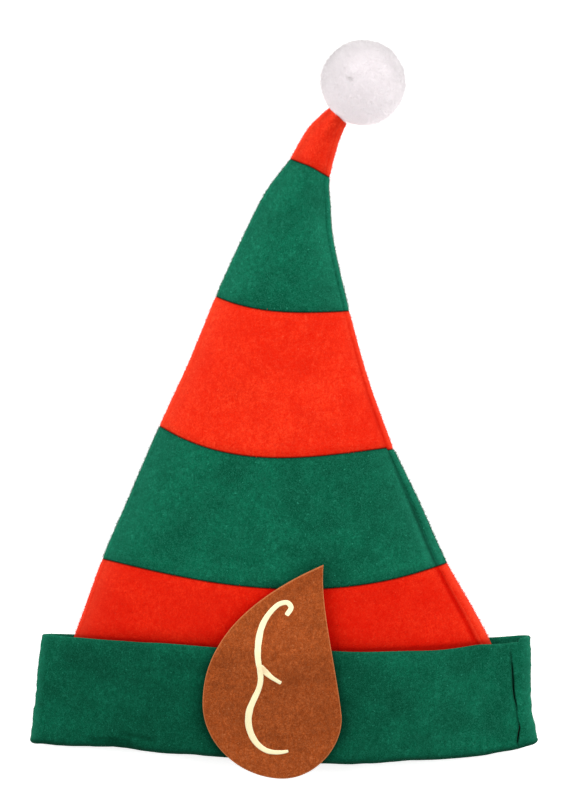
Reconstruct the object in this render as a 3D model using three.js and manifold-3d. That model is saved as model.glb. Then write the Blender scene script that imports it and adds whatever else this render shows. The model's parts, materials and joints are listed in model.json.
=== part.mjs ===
// An elf hat sewn from felt: a striped cone, a turned-up cuff, two felt ears and a pompom.
// The hat lies on its back layer, as it is laid out flat. +X runs across it, +Y from the rim
// to the tip and +Z up through its layers. Lengths are in millimetres, and the origin is the
// middle of the base of the hat's bounding box.
import * as THREE from "three";
import { mergeVertices } from "three/addons/utils/BufferGeometryUtils.js";
import Module from "manifold-3d";

const wasm = await Module();
wasm.setup();
const { clamp, lerp, smoothstep } = THREE.MathUtils;

// Felt and the gaps between its layers
const feltThickness = 1.8; // cone and cuff
const layerGap = 0.35; // between one layer and the next
const cuffGap = 0.5; // between the cone and the cuff turned up round it
const seamGap = 0.4; // between one stripe and the next
const drapeMargin = 10; // how far felt stays level beside a layer that it lies on
const drapeLength = 52; // and over which it then comes down

// Cone
const hatLength = 381; // along Y, from the cuff's fold to the cut end of the tip
const rimWidth = 294; // the cone's bottom edge, folded flat
const domeRise = 21; // how far the front layer rises above its folds
const domeFullness = 1.15; // 1 for a parabola across the hat, more for a narrower dome
const leftFoldRadius = 2.4; // the pressed fold
const rightFoldRadius = 3.8; // the softer fold, beside the back seam
const seamDip = 0.9; // how deep the seams between the stripes pull the felt in
const seamRoll = 4.5; // how far from a seam the felt is level again
const backSeamDip = 1.3; // the seam that runs up the hat beside the right fold
const backSeamInset = 6; // its furthest from the right fold's bend
const backSeamSlope = 0.035; // how fast it runs out to there as the cone widens
const backSeamStart = 50; // from where the front layer is this wide

// Cuff
const cuffHeight = 64; // from its fold to its top edge
const cuffReturn = 16; // how far its inner layer reaches up inside the cone
const cuffTaperLeft = 8.3; // how far in the top corner is from the bottom one
const cuffTaperRight = 4.5;
const cuffPressLeft = 0.2; // slope of the cuff down to its left fold, outside the cone
const cuffPressRight = 0;
const cuffTopSag = 0.03; // how far its top edge bows towards the rim, and its skew, as in the table below
const cuffTopSkew = 0.7;
const cuffDroop = 2.2; // how far the front's top edge hangs below the back's at the right end
const slitFromTop = 11; // the open stretch of the cuff's seam
const slitLength = 34;
const slitWidth = 1.5;
const slitInset = 10.5; // from the cuff's right end

// Ears
const earThickness = 1.5;
const earWidth = 80.3;
const earLength = 125.7;
const earOverhang = 7.5; // below the hat's bottom line
const earMargin = 5; // how far it stays level past the cuff's top edge
const earShift = -7; // from the middle of the rim to the middle of the ear
const lineThickness = 0.4; // the printed line on the ear
const lineWidth = 3.4;

// Pompom
const pompomDiameter = 51;
const lockCount = 62;
const lockLength = 3; // how far a lock stands out of the pompom's dense core
const lockRoot = 3; // and how deep it starts in it
const lockWidth = 8.5; // of a lock at its root
const lockTip = 3; // and at its end
const tieWidth = 6; // of the tie that holds the pompom to the tip
const tipSink = 1.2; // how deep the tip's end sits in the pompom

// The cone's rings, from its rim to its tip. X is a share of half the rim's width, Y of the
// hat's length, sag (how far a ring bows towards the rim) of half the rim's width, skew moves
// the deepest point of the bow to the right, rise is a share of the dome's and lift of the
// pompom's radius.
const rings = [
  { leftX: -1.01, leftY: 0.036, rightX: 1, rightY: 0.032, sag: 0.05, skew: 1.15, rise: 0.58, lift: 0 },
  { leftX: -0.842, leftY: 0.191, rightX: 0.821, rightY: 0.188, sag: 0.09, skew: 0.35, rise: 1, lift: 0 },
  { leftX: -0.727, leftY: 0.313, rightX: 0.651, rightY: 0.307, sag: 0.096, skew: 0.25, rise: 0.95, lift: 0 },
  { leftX: -0.618, leftY: 0.411, rightX: 0.542, rightY: 0.4, sag: 0.09, skew: -0.1, rise: 0.85, lift: 0 },
  { leftX: -0.498, leftY: 0.519, rightX: 0.436, rightY: 0.487, sag: 0.081, skew: -0.4, rise: 0.74, lift: 0 },
  { leftX: -0.38, leftY: 0.618, rightX: 0.336, rightY: 0.591, sag: 0.06, skew: -0.35, rise: 0.62, lift: 0 },
  { leftX: -0.27, leftY: 0.721, rightX: 0.258, rightY: 0.699, sag: 0.035, skew: -0.3, rise: 0.5, lift: 0 },
  { leftX: -0.156, leftY: 0.817, rightX: 0.193, rightY: 0.809, sag: 0.01, skew: -0.2, rise: 0.38, lift: 0.05 },
  { leftX: -0.067, leftY: 0.883, rightX: 0.181, rightY: 0.864, sag: 0, skew: 0, rise: 0.28, lift: 0.18 },
  { leftX: 0.022, leftY: 0.928, rightX: 0.176, rightY: 0.901, sag: -0.002, skew: 0, rise: 0.2, lift: 0.36 },
  { leftX: 0.1, leftY: 0.976, rightX: 0.208, rightY: 0.953, sag: 0, skew: 0, rise: 0.15, lift: 0.58 },
  { leftX: 0.191, leftY: 1.009, rightX: 0.25, rightY: 0.987, sag: 0, skew: 0, rise: 0.1, lift: 0.78 },
];

// The rings at the rim, at the seams between the stripes and at the tip's end
const seamRow = { rim: 0, base: 2, lower: 4, middle: 6, upper: 9, tip: 11 };

// The ear's outline, from its point down the right side and round, as cubic curves. Shares of
// the ear's width, from its middle, and of its length, from its lowest point.
const earPoint = { x: 0.372, y: 1 };
const earCurves = [
  { outX: 0.341, outY: 0.834, inX: 0.456, inY: 0.553, x: 0.499, y: 0.314 },
  { outX: 0.524, outY: 0.169, inX: 0.327, inY: 0, x: 0.075, y: 0 },
  { outX: -0.191, outY: 0, inX: -0.494, inY: 0.141, x: -0.499, y: 0.356 },
  { outX: -0.501, outY: 0.623, inX: -0.235, inY: 0.834, x: earPoint.x, y: earPoint.y },
];

// The printed line: its long stroke from the hook at the top, and its short branch. Shares of
// the ear's width and length as above, with the stroke's own width as a share of the line's.
const longStroke = [
  { x: 0.104, y: 0.76, width: 0.8 },
  { x: 0.124, y: 0.797, width: 1 },
  { x: 0.094, y: 0.828, width: 1 },
  { x: 0.046, y: 0.818, width: 1 },
  { x: -0.055, y: 0.752, width: 1.15 },
  { x: -0.104, y: 0.638, width: 1.15 },
  { x: -0.1, y: 0.53, width: 1.05 },
  { x: -0.088, y: 0.452, width: 1 },
  { x: -0.137, y: 0.365, width: 1 },
  { x: -0.176, y: 0.272, width: 1.15 },
  { x: -0.143, y: 0.186, width: 1.15 },
  { x: -0.027, y: 0.122, width: 1.05 },
  { x: 0.116, y: 0.118, width: 0.6 },
];
const branchStroke = [
  { x: -0.098, y: 0.555, width: 0.8 },
  { x: -0.05, y: 0.514, width: 1.05 },
  { x: 0.006, y: 0.484, width: 0.95 },
  { x: 0.066, y: 0.462, width: 0.8 },
];

// Stripes from the rim to the tip, each with its two seams and its rows of faces between them
const stripes = [
  { name: "stripe_base_red", from: "rim", to: "base", colour: "red", steps: 8 },
  { name: "stripe_lower_green", from: "base", to: "lower", colour: "green", steps: 4 },
  { name: "stripe_middle_red", from: "lower", to: "middle", colour: "red", steps: 4 },
  { name: "stripe_upper_green", from: "middle", to: "upper", colour: "green", steps: 5 },
  { name: "stripe_tip_red", from: "upper", to: "tip", colour: "red", steps: 4 },
];

const felt = (colour) => new THREE.MeshStandardMaterial({ color: colour, roughness: 0.95, metalness: 0 });
const materials = {
  red: felt(0xe62a14),
  green: felt(0x0f6b48),
  brown: felt(0x9c4f24),
  cream: new THREE.MeshStandardMaterial({ color: 0xfbf3c4, roughness: 0.6, metalness: 0 }),
  fur: felt(0xf3eef0),
};

// Curves through the rings' columns, read at a place along the cone in rows
const lastRow = rings.length - 1;
const halfRim = rimWidth / 2;
function through(pick) {
  const points = rings.map((ring) => new THREE.Vector3(...pick(ring)));
  return new THREE.CatmullRomCurve3(points, false, "catmullrom");
}
const leftEdge = through((ring) => [ring.leftX * halfRim, ring.leftY * hatLength, 0]);
const rightEdge = through((ring) => [ring.rightX * halfRim, ring.rightY * hatLength, 0]);
const bow = through((ring) => [ring.sag * halfRim, ring.skew, 0]);
const height = through((ring) => [ring.rise * domeRise, (ring.lift * pompomDiameter) / 2, 0]);

// A ring in plan: it runs from one fold to the other and bows towards the rim.
function ringBetween(left, right, sag, skew, rise, lift) {
  const half = right.clone().sub(left).multiplyScalar(0.5);
  const width = half.length();
  return { middle: left.clone().add(half), half, width, sag, skew, rise, lift };
}

function coneRing(along) {
  const t = clamp(along / lastRow, 0, 1);
  const [bowed, raised] = [bow.getPoint(t), height.getPoint(t)];
  const lift = Math.max(raised.y, 0);
  return ringBetween(leftEdge.getPoint(t), rightEdge.getPoint(t), bowed.x, bowed.y, raised.x, lift);
}

// The plan point of a ring, at -1 on its left fold and 1 on its right one
function planPoint(ring, across) {
  const bowed = (ring.sag * (1 - across * across) * (1 + ring.skew * across)) / ring.width;
  return new THREE.Vector2(
    ring.middle.x + ring.half.x * across + ring.half.y * bowed,
    ring.middle.y + ring.half.y * across - ring.half.x * bowed,
  );
}

// How many rows of the table a length in millimetres spans at a place along the cone
function rowsOver(length, along) {
  const step = 0.02;
  const [before, after] = [along - step, along + step].map((at) => planPoint(coneRing(at), 0));
  const between = clamp(along + step, 0, lastRow) - clamp(along - step, 0, lastRow);
  return (length * between) / before.distanceTo(after);
}

// The ear's outline in plan, and how far a plan point lies outside it
const earMiddle = new THREE.Vector2(earShift, -earOverhang);
const onEar = (x, y) => new THREE.Vector2(earMiddle.x + x * earWidth, earMiddle.y + y * earLength);
function earShape() {
  const start = onEar(earPoint.x, earPoint.y);
  const shape = new THREE.Shape().moveTo(start.x, start.y);
  for (const curve of earCurves) {
    const out = onEar(curve.outX, curve.outY);
    const into = onEar(curve.inX, curve.inY);
    const end = onEar(curve.x, curve.y);
    shape.bezierCurveTo(out.x, out.y, into.x, into.y, end.x, end.y);
  }
  return shape;
}
const earOutline = earShape().getPoints(10).slice(0, -1);

function outsideEar(x, y) {
  const point = new THREE.Vector3(x, y, 0);
  const nearest = new THREE.Vector3();
  let best = Infinity;
  let inside = false;
  earOutline.forEach((end, i) => {
    const start = earOutline.at(i - 1);
    const edge = new THREE.Line3(new THREE.Vector3(...start, 0), new THREE.Vector3(...end, 0));
    best = Math.min(best, edge.closestPointToPoint(point, true, nearest).distanceTo(point));
    const crosses = start.y > y !== end.y > y;
    if (crosses && x < lerp(start.x, end.x, (y - start.y) / (end.y - start.y))) inside = !inside;
  });
  return inside ? 0 : best;
}

// The cuff's rings, in plan: round the rim at 0, and its top edge at 1
const cuffOffset = feltThickness + cuffGap; // from the cone's middle surface to the cuff's
function cuffRing(up) {
  const rim = coneRing(0);
  const left = leftEdge.getPoint(0);
  const right = rightEdge.getPoint(0);
  const rise = up * (cuffHeight - feltThickness / 2 - cuffOffset);
  left.add(new THREE.Vector3(-cuffOffset + up * cuffTaperLeft, rise, 0));
  right.add(new THREE.Vector3(cuffOffset - up * cuffTaperRight, rise, 0));
  const sag = lerp(rim.sag, cuffTopSag * halfRim, up);
  return ringBetween(left, right, sag, lerp(rim.skew, cuffTopSkew, up), 0, 0);
}
const topRing = cuffRing(1);
const aboveCuff = (x, y) => y - planPoint(topRing, (x - topRing.middle.x) / topRing.half.x).y;

// The height of what lies under the back layers: the far ear, and the cuff's own back layer
const overEar = (x, y) =>
  (earThickness + layerGap) * (1 - smoothstep(outsideEar(x, y) - drapeMargin, 0, drapeLength));
const overCuff = (x, y) =>
  cuffOffset * (1 - smoothstep(aboveCuff(x, y) - drapeMargin, 0, drapeLength));
const underCone = (x, y) => overEar(x, y) + overCuff(x, y);

// A closed loop round a ring. turn goes 0 to 1 up the left fold, 1 to 2 across the front layer,
// 2 to 3 down the right fold and 3 to 4 back across the back layer.
const grooveTurn = 0.9; // the share of the front's turn that lies left of the back seam's strip
const backSeamTurn = 1.5 + grooveTurn / 2;
const creaseTurn = 0.02; // how far to each side of the seam its dip reaches
function frontShare(share, reach) {
  const inset = clamp((reach - backSeamStart) * backSeamSlope, 0.5, backSeamInset);
  const groove = Math.min((2 * inset) / reach, 0.3);
  if (share < grooveTurn) return (share / grooveTurn) * (1 - groove);
  return 1 - ((1 - share) / (1 - grooveTurn)) * groove;
}

function loopPoint(turn, ring, folds, frontHeight, backHeight) {
  const quarter = Math.floor(turn) % 4;
  const share = turn - Math.floor(turn);
  const reach = 2 * ring.width - folds.left - folds.right;
  const place = (x) => planPoint(ring, x / ring.width);
  const bends = { left: folds.left - ring.width, right: ring.width - folds.right };
  if (quarter === 1) {
    const across = frontShare(share, reach);
    const p = place(bends.left + across * reach);
    return new THREE.Vector3(p.x, p.y, frontHeight(p, across));
  }
  if (quarter === 3) {
    const p = place(bends.right - share * reach);
    return new THREE.Vector3(p.x, p.y, backHeight(p));
  }
  const [side, out] = quarter === 0 ? ["left", -1] : ["right", 1];
  const angle = (0.5 - share) * Math.PI * out;
  const edge = place(bends[side]);
  const top = frontHeight(edge, quarter / 2);
  const bottom = backHeight(edge);
  const p = place(bends[side] + out * folds[side] * Math.cos(angle));
  return new THREE.Vector3(p.x, p.y, (top + bottom) / 2 + ((top - bottom) / 2) * Math.sin(angle));
}

const foldsOf = (ring) => ({
  left: Math.min(leftFoldRadius, ring.width * 0.3),
  right: Math.min(rightFoldRadius, ring.width * 0.3),
});
const dome = (share) => Math.pow(Math.max(4 * share * (1 - share), 0), domeFullness);

// The cone's middle surface: its front layer's height at a share of a ring, and a point of it
function coneFront(ring, folds, share) {
  const foldTop = (side, radius) => {
    const p = planPoint(ring, side);
    return underCone(p.x, p.y) + 2 * radius;
  };
  const base = lerp(foldTop(-1, folds.left), foldTop(1, folds.right), share);
  return base + ring.rise * dome(share) + feltThickness / 2 + ring.lift;
}

function conePoint(turn, along) {
  const ring = coneRing(along);
  const folds = foldsOf(ring);
  const front = (p, share) => coneFront(ring, folds, share);
  const back = (p) => underCone(p.x, p.y) + feltThickness / 2 + ring.lift;
  return loopPoint((turn + 4) % 4, ring, folds, front, back);
}

// The unit normal of a surface, from points of it a small step apart
function normalOf(surface, turn, run) {
  const step = 0.01;
  const overTurn = surface(turn + step, run).sub(surface(turn - step, run));
  const overRun = surface(turn, run + step).sub(surface(turn, run - step));
  return overTurn.cross(overRun).normalize();
}

// How deep the back seam pulls the felt in. It lies flat at the rim, under the cuff, and
// fades out in the narrow end of the cone.
function backSeam(turn, along) {
  const off = Math.abs(turn - backSeamTurn) / creaseTurn;
  const ends = smoothstep(along, 0, 1) * (1 - smoothstep(along, seamRow.middle, seamRow.upper));
  return backSeamDip * ends * Math.pow(Math.max(1 - off * off, 0), 2);
}

// How deep the seams between the stripes pull the felt in
function stripeSeams(along) {
  const dips = stripes.slice(1).map(({ from }) => {
    const off = Math.abs(along - seamRow[from]) / rowsOver(seamRoll, seamRow[from]);
    return Math.pow(Math.max(1 - off * off, 0), 2);
  });
  return seamDip * Math.max(...dips);
}

// The turns at which a loop has points
const evenly = (count, from, to) => Array.from({ length: count }, (_, i) => lerp(from, to, i / count));
const turns = [
  ...evenly(5, 0, 1),
  ...evenly(13, 1, 1 + grooveTurn),
  1 + grooveTurn,
  backSeamTurn - creaseTurn,
  backSeamTurn,
  backSeamTurn + creaseTurn,
  ...evenly(6, 2, 3),
  ...evenly(13, 3, 4),
];

// A wall between rings of outer and inner points, closed at its last ring if it is a tip
function wallGeometry(loops, closedEnd) {
  const count = loops[0].outer.length;
  const points = loops.flatMap(({ outer, inner }) => [...outer, ...inner]);
  const index = [];
  const at = (row, side, i) => (2 * row + side) * count + (i % count);
  const quad = (a, b, c, d) => index.push(a, b, c, a, c, d);
  const last = loops.length - 1;
  for (let i = 0; i < count; i++) {
    for (let row = 0; row < last; row++) {
      quad(at(row, 0, i), at(row, 0, i + 1), at(row + 1, 0, i + 1), at(row + 1, 0, i));
      quad(at(row, 1, i), at(row + 1, 1, i), at(row + 1, 1, i + 1), at(row, 1, i + 1));
    }
    quad(at(0, 0, i), at(0, 1, i), at(0, 1, i + 1), at(0, 0, i + 1));
    if (closedEnd) {
      index.push(at(last, 0, i), at(last, 0, i + 1), points.length);
      index.push(at(last, 1, i + 1), at(last, 1, i), points.length + 1);
    } else quad(at(last, 0, i), at(last, 0, i + 1), at(last, 1, i + 1), at(last, 1, i));
  }
  if (closedEnd) points.push(meanOf(loops[last].outer), meanOf(loops[last].inner));
  return new THREE.BufferGeometry().setFromPoints(points).setIndex(index);
}

const meanOf = (points) =>
  points.reduce((sum, point) => sum.add(point), new THREE.Vector3()).divideScalar(points.length);

// A stripe of the cone, from one seam to the next, with a row where each seam's dip ends
function stripeGeometry({ from, to, steps }) {
  const [low, high] = [seamRow[from], seamRow[to]];
  const closedEnd = to === "tip";
  const start = low === 0 ? 0 : low + rowsOver(seamGap / 2, low);
  const end = closedEnd ? high : high - rowsOver(seamGap / 2, high);
  const [rolledIn, rolledOut] = [low + rowsOver(seamRoll, low), high - rowsOver(seamRoll, high)];
  const places = [start, ...evenly(steps - 1, rolledIn, rolledOut), rolledOut, end];
  const side = (along, offset) =>
    turns.map((turn) => {
      const dip = backSeam(turn, along) + stripeSeams(along);
      return conePoint(turn, along).addScaledVector(normalOf(conePoint, turn, along), offset - dip);
    });
  const innerEnd = closedEnd ? end - rowsOver(feltThickness, end) : end;
  const loops = places.map((along) => ({
    outer: side(along, feltThickness / 2),
    inner: side(Math.min(along, innerEnd), -feltThickness / 2),
  }));
  return wallGeometry(loops, closedEnd);
}

// Where the cone lies at a plan point: its place across and along, and how far past the rim
function coneAt(x, y) {
  let [low, high] = [0, lastRow];
  let across = 0;
  for (let step = 0; step < 24; step++) {
    const ring = coneRing((low + high) / 2);
    for (let i = 0; i < 3; i++) across += (x - planPoint(ring, across).x) / ring.half.x;
    if (planPoint(ring, across).y < y) low = (low + high) / 2;
    else high = (low + high) / 2;
  }
  const past = planPoint(coneRing(0), across).y - y;
  return { across, along: low, past: Math.max(past, 0) };
}

// The height of the cone's front layer over a plan point. Outside the folds it is that of the
// fold, less the cuff's slope down to its own fold, and past the rim it keeps its slope.
function frontHeight(x, y) {
  const { across, along, past } = coneAt(x, y);
  const heightAt = (row) => {
    const ring = coneRing(row);
    const folds = foldsOf(ring);
    const reach = 2 * ring.width - folds.left - folds.right;
    const share = clamp(((across + 1) * ring.width - folds.left) / reach, 0, 1);
    return coneFront(ring, folds, share);
  };
  const outside = Math.max(Math.abs(across) - 1, 0) * coneRing(along).width;
  const pressed = outside * (across < 0 ? cuffPressLeft : cuffPressRight);
  const step = 10;
  const slope = past > 0 ? (heightAt(rowsOver(step, 0)) - heightAt(0)) / step : 0;
  return heightAt(along) - pressed - past * slope;
}

// The height of a layer that lies a given distance over the cone's front layer
function heightOver(x, y, distance) {
  const step = 2;
  const slopeX = (frontHeight(x + step, y) - frontHeight(x - step, y)) / (2 * step);
  const slopeY = (frontHeight(x, y + step) - frontHeight(x, y - step)) / (2 * step);
  return frontHeight(x, y) + distance * Math.hypot(1, slopeX, slopeY);
}

// The cuff's middle surface. run goes 0 to 1 down its outer layer, 1 to 2 round its fold, and
// 2 to 3 up its inner layer.
function cuffPoint(turn, run) {
  const rimFolds = foldsOf(coneRing(0));
  const folds = { left: rimFolds.left + cuffOffset, right: rimFolds.right + cuffOffset };
  const front = (p) => heightOver(p.x, p.y, cuffOffset);
  const back = (p) => overEar(p.x, p.y) + feltThickness / 2;
  const wrapped = (turn + 4) % 4;
  if (run < 1) {
    const droop = wrapped < 2 ? smoothstep(wrapped, 1.5, 2) : Math.max(3 - wrapped, 0);
    const p = loopPoint(wrapped, cuffRing(1 - run), folds, front, back);
    return p.setY(p.y - cuffDroop * (1 - run) * droop);
  }
  const along = rowsOver(clamp(run - 2, 0, 1) * cuffReturn, 0);
  const outward = normalOf(conePoint, wrapped, along).multiplyScalar(cuffOffset);
  if (run >= 2) return conePoint(wrapped, along).sub(outward);
  const rim = conePoint(wrapped, 0);
  const outermost = loopPoint(wrapped, cuffRing(0), folds, front, back).sub(rim);
  const down = rim.clone().sub(conePoint(wrapped, rowsOver(1, 0))).setLength(cuffOffset);
  const angle = (run - 1) * Math.PI;
  rim.addScaledVector(outermost.lerp(outward, run - 1), Math.cos(angle));
  return rim.addScaledVector(down, Math.sin(angle));
}

function cuffGeometry() {
  const runs = [3, 2.5, 2, 1.75, 1.5, 1.25, 1, 0.75, 0.5, 0.25, 0];
  const loops = runs.map((run) => {
    const side = (offset) =>
      turns.map((turn) => cuffPoint(turn, run).addScaledVector(normalOf(cuffPoint, turn, run), -offset));
    return { outer: side(feltThickness / 2), inner: side(-feltThickness / 2) };
  });
  return wallGeometry(loops, false);
}

// The open stretch of the cuff's seam, as the prism that cuts it out of the outer layer
function slitGeometry() {
  const seamAt = (below) => {
    const ring = cuffRing(1 - below / cuffHeight);
    return planPoint(ring, 1 - slitInset / ring.width);
  };
  const [top, bottom] = [seamAt(slitFromTop), seamAt(slitFromTop + slitLength)];
  const middle = top.clone().add(bottom).divideScalar(2);
  const shape = new THREE.Shape().moveTo(top.x, top.y);
  shape.quadraticCurveTo(middle.x - slitWidth, middle.y, bottom.x, bottom.y);
  shape.quadraticCurveTo(middle.x + slitWidth, middle.y, top.x, top.y);
  const depth = 4 * feltThickness;
  const prism = new THREE.ExtrudeGeometry(shape, { depth, bevelEnabled: false, curveSegments: 6 });
  return prism.translate(0, 0, heightOver(middle.x, middle.y, cuffOffset) - depth / 2);
}

// The near ear lies on the cuff, and comes down to the cone at its point.
function earHeight(x, y) {
  const onCone = feltThickness / 2 + layerGap + earThickness / 2;
  const past = smoothstep(aboveCuff(x, y), earMargin, aboveCuff(x, onEar(0, earPoint.y).y));
  return heightOver(x, y, onCone + cuffOffset * (1 - past));
}

function nearEarGeometry() {
  const middle = onEar(0, 0.42);
  const scales = [0.2, 0.4, 0.6, 0.8, 1];
  const layer = (offset) => {
    const at = (x, y) => new THREE.Vector3(x, y, earHeight(x, y) + offset);
    const spread = (scale) =>
      earOutline.map((p) => at(lerp(middle.x, p.x, scale), lerp(middle.y, p.y, scale)));
    return [...scales.flatMap(spread), at(middle.x, middle.y)];
  };
  const [top, bottom] = [layer(earThickness / 2), layer(-earThickness / 2)];
  const count = earOutline.length;
  const edge = (scales.length - 1) * count;
  const index = [];
  const both = (a, b, c) => index.push(a, b, c, top.length + a, top.length + c, top.length + b);
  for (let i = 0; i < count; i++) {
    const next = (i + 1) % count;
    both(top.length - 1, next, i);
    for (let row = 0; row < edge; row += count) {
      both(row + i, row + next, row + count + next);
      both(row + i, row + count + next, row + count + i);
    }
    index.push(edge + i, edge + next, top.length + edge + next);
    index.push(edge + i, top.length + edge + next, top.length + edge + i);
  }
  return new THREE.BufferGeometry().setFromPoints([...top, ...bottom]).setIndex(index);
}

const farEarGeometry = () =>
  new THREE.ExtrudeGeometry(new THREE.Shape(earOutline), { depth: earThickness, bevelEnabled: false });

// Solids for the cuts and joins
function solidOf(geometry) {
  const bare = geometry.index ? geometry.toNonIndexed() : geometry.clone();
  bare.deleteAttribute("normal");
  bare.deleteAttribute("uv");
  const merged = mergeVertices(bare, 1e-3);
  return new wasm.Manifold(
    new wasm.Mesh({
      numProp: 3,
      vertProperties: merged.attributes.position.array,
      triVerts: new Uint32Array(merged.index.array),
    }),
  );
}

function geometryOf(solid) {
  const { vertProperties, triVerts } = solid.getMesh();
  return new THREE.BufferGeometry()
    .setAttribute("position", new THREE.BufferAttribute(new Float32Array(vertProperties), 3))
    .setIndex(new THREE.BufferAttribute(new Uint32Array(triVerts), 1));
}

// A stroke of the printed line as a flat plate, with round ends
function strokeSolid(rows, steps) {
  const curve = new THREE.CatmullRomCurve3(
    rows.map(({ x, y, width }) => new THREE.Vector3(onEar(x, y).x, onEar(x, y).y, width)),
  );
  const halfWidth = (t) => (curve.getPoint(t).z * lineWidth) / 2;
  const sideways = (t) => {
    const tangent = curve.getTangent(t);
    return new THREE.Vector2(-tangent.y, tangent.x).normalize();
  };
  const at = (t, turned) => {
    const [centre, out] = [curve.getPoint(t), sideways(t)];
    const along = new THREE.Vector2(out.y, -out.x);
    const half = halfWidth(t);
    return new THREE.Vector2(
      centre.x + half * (out.x * Math.cos(turned) + along.x * Math.sin(turned)),
      centre.y + half * (out.y * Math.cos(turned) + along.y * Math.sin(turned)),
    );
  };
  const outline = [
    ...evenly(steps, 0, 1).map((t) => at(t, 0)),
    ...evenly(4, 0, Math.PI).map((angle) => at(1, angle)),
    ...evenly(steps, 1, 0).map((t) => at(t, Math.PI)),
    ...evenly(4, Math.PI, 2 * Math.PI).map((angle) => at(0, angle)),
  ];
  const options = { depth: lineThickness, bevelEnabled: false };
  return solidOf(new THREE.ExtrudeGeometry(new THREE.Shape(outline), options));
}

function lineGeometry() {
  const strokes = strokeSolid(longStroke, 32).add(strokeSolid(branchStroke, 8));
  const flat = geometryOf(strokes.refineToLength(2 * lineWidth));
  const place = flat.attributes.position;
  for (let i = 0; i < place.count; i++) {
    const base = earHeight(place.getX(i), place.getY(i)) + earThickness / 2 + layerGap;
    place.setZ(i, base + place.getZ(i));
  }
  return flat;
}

// The pompom: a core with tapered locks all over it, a tie to the hat's tip, and a seat for
// the tip's end
function pompomGeometry() {
  const radius = pompomDiameter / 2;
  const tipEnd = meanOf(turns.map((turn) => conePoint(turn, lastRow)));
  const before = meanOf(turns.map((turn) => conePoint(turn, lastRow - 1)));
  const onward = tipEnd.clone().sub(before).setZ(0).normalize();
  const centre = tipEnd.clone().addScaledVector(onward, radius - tipSink).setZ(radius);
  const coreRadius = radius - lockLength;
  const core = new THREE.IcosahedronGeometry(coreRadius, 3).translate(centre.x, centre.y, centre.z);
  let pompom = solidOf(core);
  const goldenAngle = Math.PI * (3 - Math.sqrt(5));
  const up = new THREE.Vector3(0, 1, 0);
  const root = coreRadius - lockRoot;
  for (let i = 0; i < lockCount; i++) {
    const z = 1 - (2 * i + 1) / lockCount;
    const flat = Math.sqrt(1 - z * z);
    const out = new THREE.Vector3(flat * Math.cos(i * goldenAngle), flat * Math.sin(i * goldenAngle), z);
    const length = radius * (0.98 + 0.02 * Math.sin(2.7 * i)) - root;
    const lock = new THREE.CylinderGeometry(lockTip / 2, lockWidth / 2, length, 4);
    lock.translate(0, length / 2, 0);
    lock.applyQuaternion(new THREE.Quaternion().setFromUnitVectors(up, out));
    lock.translate(centre.x + out.x * root, centre.y + out.y * root, centre.z + out.z * root);
    pompom = pompom.add(solidOf(lock));
  }
  const toTip = tipEnd.clone().sub(centre);
  const tieLength = toTip.length() - layerGap;
  const tie = new THREE.CylinderGeometry(tieWidth / 2, tieWidth / 2, tieLength, 8);
  tie.translate(0, tieLength / 2, 0);
  tie.applyQuaternion(new THREE.Quaternion().setFromUnitVectors(up, toTip.normalize()));
  pompom = pompom.add(solidOf(tie.translate(centre.x, centre.y, centre.z)));
  return geometryOf(pompom.subtract(tipSeat()).simplify(0.05));
}

// The end of the tip, grown by the gap, as a solid block
function tipSeat() {
  const gap = feltThickness / 2 + layerGap;
  const grown = (along, onward) =>
    turns.map((turn) => {
      const end = conePoint(turn, lastRow).sub(conePoint(turn, lastRow - 0.1)).setLength(onward);
      return conePoint(turn, along).addScaledVector(normalOf(conePoint, turn, along), gap).add(end);
    });
  const loops = [grown(lastRow - 0.8, 0), grown(lastRow, layerGap)];
  const points = loops.flat();
  const count = turns.length;
  const index = [];
  for (let i = 0; i < count; i++) {
    const next = (i + 1) % count;
    index.push(i, next, count + next, i, count + next, count + i);
    index.push(count + i, count + next, points.length);
    index.push(next, i, points.length + 1);
  }
  points.push(meanOf(loops[1]), meanOf(loops[0]));
  return solidOf(new THREE.BufferGeometry().setFromPoints(points).setIndex(index));
}

// Assembly
const hat = new THREE.Group();
function piece(name, geometry, material) {
  const mesh = new THREE.Mesh(geometry, material);
  mesh.name = name;
  hat.add(mesh);
}

for (const stripe of stripes) piece(stripe.name, stripeGeometry(stripe), materials[stripe.colour]);
piece("cuff", geometryOf(solidOf(cuffGeometry()).subtract(solidOf(slitGeometry()))), materials.green);
piece("ear_near", nearEarGeometry(), materials.brown);
piece("ear_far", farEarGeometry(), materials.brown);
piece("ear_line", lineGeometry(), materials.cream);
piece("pompom", pompomGeometry(), materials.fur);

const bounds = new THREE.Box3().setFromObject(hat, true);
const middle = bounds.getCenter(new THREE.Vector3());
hat.position.set(-middle.x, -middle.y, -bounds.min.z);

export default hat;
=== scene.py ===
import json
import math
from types import SimpleNamespace

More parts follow.
